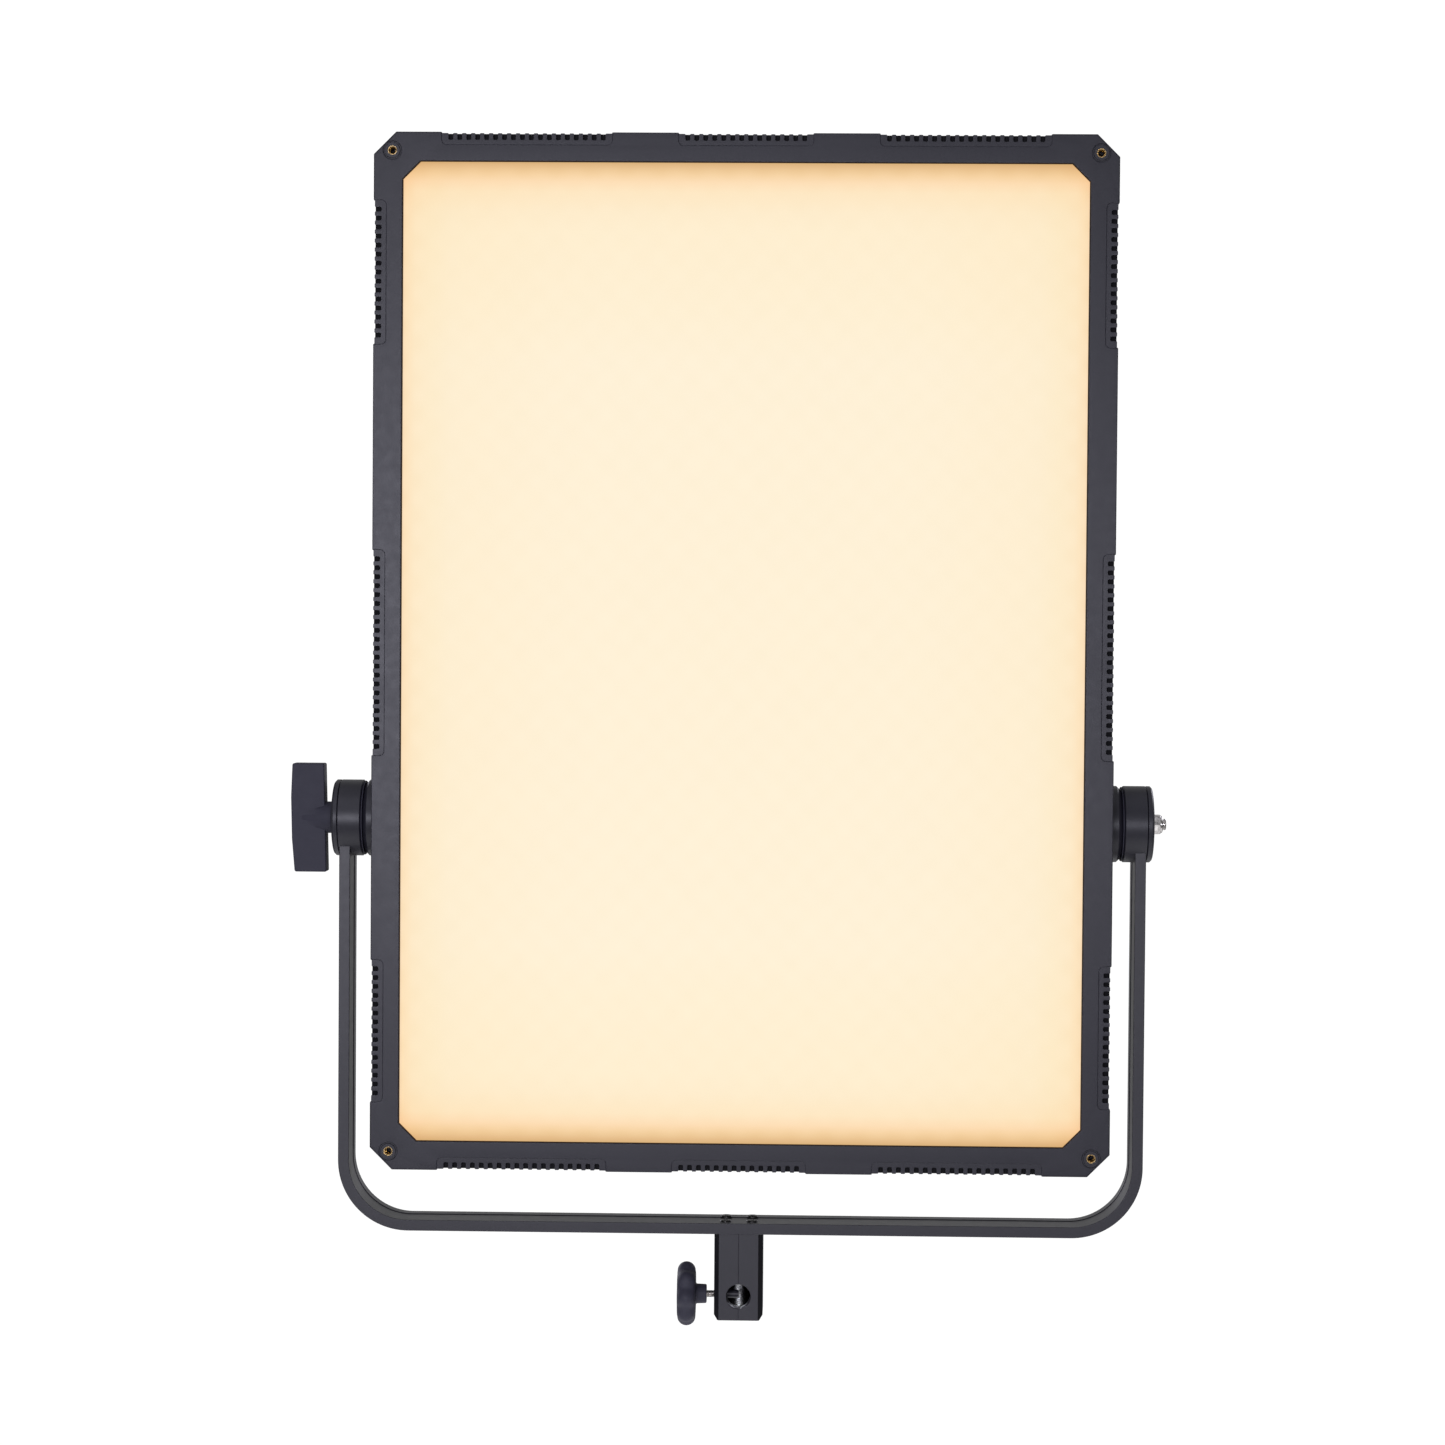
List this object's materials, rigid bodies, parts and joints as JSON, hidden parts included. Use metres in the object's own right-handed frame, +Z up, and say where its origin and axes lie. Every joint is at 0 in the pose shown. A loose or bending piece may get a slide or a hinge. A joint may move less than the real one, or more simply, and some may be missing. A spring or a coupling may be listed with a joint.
{
  "type": "led panel light",
  "caption": "Upright soft LED panel on a tilting yoke, with tilt and stand lock knobs and a socket for a stand pin.",
  "frame": {"origin": "centre of the stand socket's mouth, on the underside of the socket block", "axes": "+Z up along the stand pin, -Y the way the light shines, +X to the right of a person looking at the lit face"},
  "size_m": [0.5969, 0.1346, 0.8088],
  "materials": {
    "panel_paint": "fine matte blue-grey powder coat",
    "yoke_paint": "satin dark grey powder coat",
    "lit_diffuser": "opal acrylic, lit warm white from behind",
    "white_plastic": "matte white",
    "white_board": "white solder resist",
    "bare_aluminium": "as extruded",
    "supply_case": "plain",
    "circuit_board": "green solder resist",
    "black_plastic": "fine moulded texture",
    "button_rubber": "silicone",
    "friction_rubber": "matte",
    "display_glass": "polished",
    "plated_steel": "bright nickel plate",
    "black_steel": "black oxide",
    "brass_insert": "turned brass"
  },
  "bodies": {
    "yoke_frame": {"yoke": "yoke_paint", "socket_block": "yoke_paint", "bar_screw_1": "black_steel", "bar_screw_2": "black_steel", "bar_screw_3": "black_steel", "bar_screw_4": "black_steel", "left_friction_ring": "friction_rubber", "right_friction_ring": "friction_rubber", "left_hub_barrel": "black_plastic", "right_hub_barrel": "black_plastic", "left_hub_cap": "black_plastic", "right_hub_cap": "black_plastic"},
    "lamp_head": {"front_bezel": "panel_paint", "diffuser_sheet": "lit_diffuser", "reflector_frame": "white_plastic", "led_board": "white_board", "heat_spreader": "bare_aluminium", "housing_frame": "panel_paint", "rear_cover": "panel_paint", "electronics_housing": "panel_paint", "power_supply": "supply_case", "control_board": "circuit_board", "control_fascia": "black_plastic", "display_window": "display_glass", "display_module": "circuit_board", "dimmer_encoder": "plated_steel", "colour_encoder": "plated_steel", "mains_inlet": "black_plastic", "power_switch_frame": "black_plastic", "fuse_holder": "black_plastic", "dmx_in_socket": "plated_steel", "dmx_out_socket": "plated_steel", "corner_insert_top_left": "brass_insert", "corner_insert_top_right": "brass_insert", "corner_insert_bottom_left": "brass_insert", "corner_insert_bottom_right": "brass_insert", "cover_screw_1": "black_steel", "cover_screw_2": "black_steel", "cover_screw_3": "black_steel", "cover_screw_4": "black_steel", "left_pivot_disc": "black_plastic", "right_pivot_disc": "black_plastic", "tilt_bolt": "plated_steel", "pivot_bolt": "plated_steel", "pivot_lock_nut": "plated_steel"},
    "tilt_washer": {"tilt_washer": "plated_steel"},
    "tilt_knob": {"tilt_knob": "black_plastic"},
    "stand_lock_pad": {"stand_lock_pad": "brass_insert"},
    "stand_lock_knob": {"stand_lock_knob": "black_plastic", "stand_lock_screw": "plated_steel"},
    "dimmer_knob": {"dimmer_knob": "black_plastic"},
    "colour_knob": {"colour_knob": "black_plastic"},
    "menu_button_1": {"menu_button_1": "button_rubber"},
    "menu_button_2": {"menu_button_2": "button_rubber"},
    "menu_button_3": {"menu_button_3": "button_rubber"},
    "menu_button_4": {"menu_button_4": "button_rubber"},
    "power_rocker": {"power_rocker": "black_plastic"}
  },
  "joints": [
    {"name": "panel_tilt", "type": "hinge", "parent": "yoke_frame", "child": "lamp_head", "pos_m": [0, 0, 0.34], "axis": [1, 0, 0], "range_deg": [-160, 160]},
    {"name": "tilt_knob_travel", "type": "slide", "parent": "yoke_frame", "child": "tilt_washer", "axis": [-1, 0, 0], "range_m": [0, 0.0023]},
    {"name": "tilt_knob_turn", "type": "hinge", "parent": "tilt_washer", "child": "tilt_knob", "pos_m": [-0.29, 0, 0.34], "axis": [-1, 0, 0], "range_deg": [0, 540]},
    {"name": "stand_lock_travel", "type": "slide", "parent": "yoke_frame", "child": "stand_lock_pad", "axis": [1, 0, 0], "range_m": [-0.0033, 0.0011]},
    {"name": "stand_lock_turn", "type": "hinge", "parent": "stand_lock_pad", "child": "stand_lock_knob", "pos_m": [-0.03, 0, 0.015], "axis": [1, 0, 0], "range_deg": [-1440, 450]},
    {"name": "dimmer_turn", "type": "hinge", "parent": "lamp_head", "child": "dimmer_knob", "pos_m": [-0.062, 0.084, 0.262], "axis": [0, -1, 0], "continuous": true},
    {"name": "colour_turn", "type": "hinge", "parent": "lamp_head", "child": "colour_knob", "pos_m": [0.062, 0.084, 0.262], "axis": [0, -1, 0], "continuous": true},
    {"name": "menu_button_1_press", "type": "slide", "parent": "lamp_head", "child": "menu_button_1", "axis": [0, -1, 0], "range_m": [0, 0.001], "stiffness_N_per_m": 400, "springref_m": -0.001},
    {"name": "menu_button_2_press", "type": "slide", "parent": "lamp_head", "child": "menu_button_2", "axis": [0, -1, 0], "range_m": [0, 0.001], "stiffness_N_per_m": 400, "springref_m": -0.001},
    {"name": "menu_button_3_press", "type": "slide", "parent": "lamp_head", "child": "menu_button_3", "axis": [0, -1, 0], "range_m": [0, 0.001], "stiffness_N_per_m": 400, "springref_m": -0.001},
    {"name": "menu_button_4_press", "type": "slide", "parent": "lamp_head", "child": "menu_button_4", "axis": [0, -1, 0], "range_m": [0, 0.001], "stiffness_N_per_m": 400, "springref_m": -0.001},
    {"name": "power_rocker_tip", "type": "hinge", "parent": "lamp_head", "child": "power_rocker", "pos_m": [0.058, 0.047, 0.1827], "axis": [0, -1, 0], "range_deg": [0, 20]}
  ],
  "couplings": [
    {"joint": "tilt_knob_travel", "follows": "tilt_knob_turn", "m_per_rad": 0.00023873},
    {"joint": "stand_lock_travel", "follows": "stand_lock_turn", "m_per_rad": 0.00012732}
  ]
}
